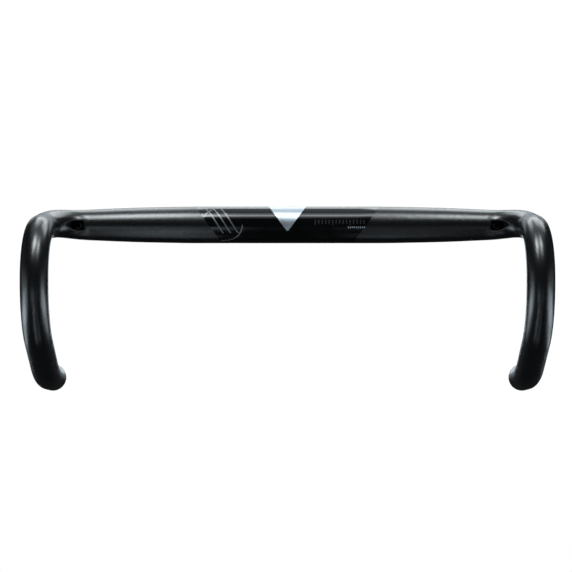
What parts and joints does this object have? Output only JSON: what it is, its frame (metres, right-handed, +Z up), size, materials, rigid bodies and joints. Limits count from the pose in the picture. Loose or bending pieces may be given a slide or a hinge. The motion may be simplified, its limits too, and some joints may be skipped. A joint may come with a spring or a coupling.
{
  "type": "handlebar",
  "caption": "Compact drop handlebar for a road bike: tapered carbon tops with hose ports, curved hooks and expanding end plugs.",
  "frame": {"origin": "middle of the stem clamp, on the tops' axis", "axes": "+X along the tops to the rider's left, -Y forward in the direction of travel, +Z up"},
  "size_m": [0.4438, 0.148, 0.1627],
  "materials": {
    "bar_centre": "clear-coated carbon laminate, gloss between the slanted edges and satin outside them",
    "bar_satin": "satin clear-coated carbon laminate",
    "raw_laminate": "uncoated carbon laminate",
    "port_trim": "smooth moulded nylon",
    "liner": "extruded plastic liner",
    "plug_cap": "fine moulded texture",
    "washer": "plain steel",
    "screw": "black oxide steel",
    "expander": "moulded nylon",
    "wedge": "turned aluminium"
  },
  "bodies": {
    "bar": {"center_tube": "bar_centre", "left_drop": "bar_satin", "right_drop": "bar_satin", "left_bond_sleeve": "raw_laminate", "left_port_grommet": "port_trim", "left_exit_grommet": "port_trim", "left_guide_tube": "liner", "left_plug_cap": "plug_cap", "left_plug_washer": "washer", "left_plug_expander": "expander", "right_bond_sleeve": "raw_laminate", "right_port_grommet": "port_trim", "right_exit_grommet": "port_trim", "right_guide_tube": "liner", "right_plug_cap": "plug_cap", "right_plug_washer": "washer", "right_plug_expander": "expander"},
    "left_screw": {"left_plug_screw": "screw"},
    "left_wedge": {"left_plug_wedge": "wedge"},
    "right_screw": {"right_plug_screw": "screw"},
    "right_wedge": {"right_plug_wedge": "wedge"}
  },
  "joints": [
    {"name": "left_screw_turn", "type": "hinge", "parent": "bar", "child": "left_screw", "pos_m": [0.21, 0.052, -0.135], "axis": [0, 0.9965, -0.083], "range_deg": [0, 1440]},
    {"name": "left_wedge_slide", "type": "slide", "parent": "bar", "child": "left_wedge", "axis": [0, -0.9965, 0.083], "range_m": [0, 0.0032]},
    {"name": "right_screw_turn", "type": "hinge", "parent": "bar", "child": "right_screw", "pos_m": [-0.21, 0.052, -0.135], "axis": [0, 0.9965, -0.083], "range_deg": [0, 1440]},
    {"name": "right_wedge_slide", "type": "slide", "parent": "bar", "child": "right_wedge", "axis": [0, -0.9965, 0.083], "range_m": [0, 0.0032]}
  ],
  "couplings": [
    {"joint": "left_screw_turn", "follows": "left_wedge_slide", "rad_per_m": 7854},
    {"joint": "right_screw_turn", "follows": "right_wedge_slide", "rad_per_m": 7854}
  ]
}
